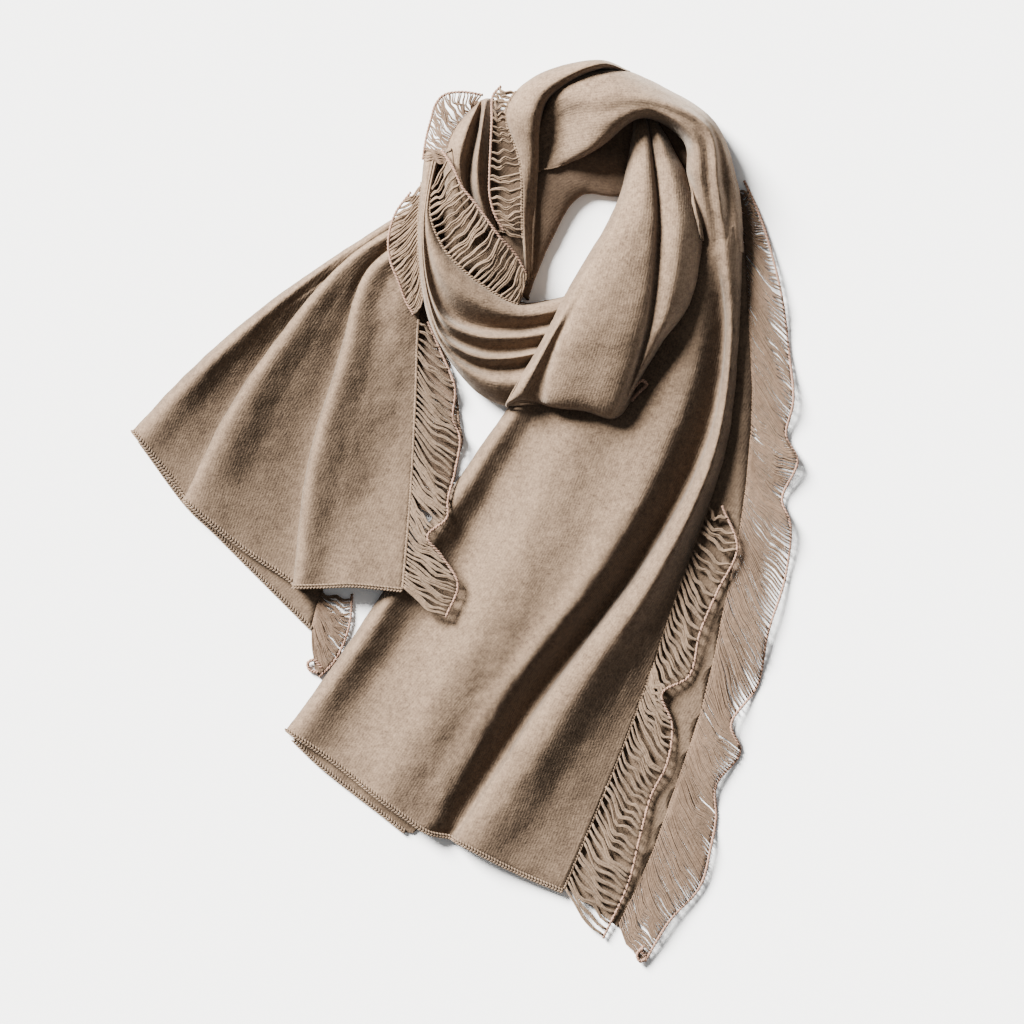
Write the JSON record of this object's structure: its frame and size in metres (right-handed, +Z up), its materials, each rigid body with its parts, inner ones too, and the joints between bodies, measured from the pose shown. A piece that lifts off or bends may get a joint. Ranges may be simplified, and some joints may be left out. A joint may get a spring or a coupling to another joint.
{
  "type": "pashmina shawl",
  "caption": "Felted knit shawl laid flat, wound into a neck loop with two folded tails, ladder-stitch ruffles along both long edges.",
  "frame": {"origin": "centre of the footprint, on the surface the shawl lies on", "axes": "+Y from the tails towards the top of the neck loop, +X towards the long tail's ruffled side, +Z up from the surface"},
  "size_m": [0.6632, 0.8997, 0.054],
  "materials": {
    "heather_knit": "matt",
    "heather_knit_under": "matt",
    "ruffle_yarn": "matt"
  },
  "bodies": {
    "root": {"left_tail_front": "heather_knit", "right_tail_front": "heather_knit", "crown_band": "heather_knit", "crown_rim": "heather_knit", "side_drape": "heather_knit", "cowl": "heather_knit", "front_wrap": "heather_knit", "left_tail_back": "heather_knit_under", "right_tail_back": "heather_knit_under", "under_turn": "heather_knit_under", "left_tail_front_ladder": "ruffle_yarn", "left_tail_back_ladder": "ruffle_yarn", "right_tail_front_ladder": "ruffle_yarn", "right_tail_back_ladder": "ruffle_yarn", "cowl_ladder": "ruffle_yarn", "drape_ladder": "ruffle_yarn", "outer_ladder": "ruffle_yarn", "top_ladder": "ruffle_yarn"}
  },
  "joints": []
}
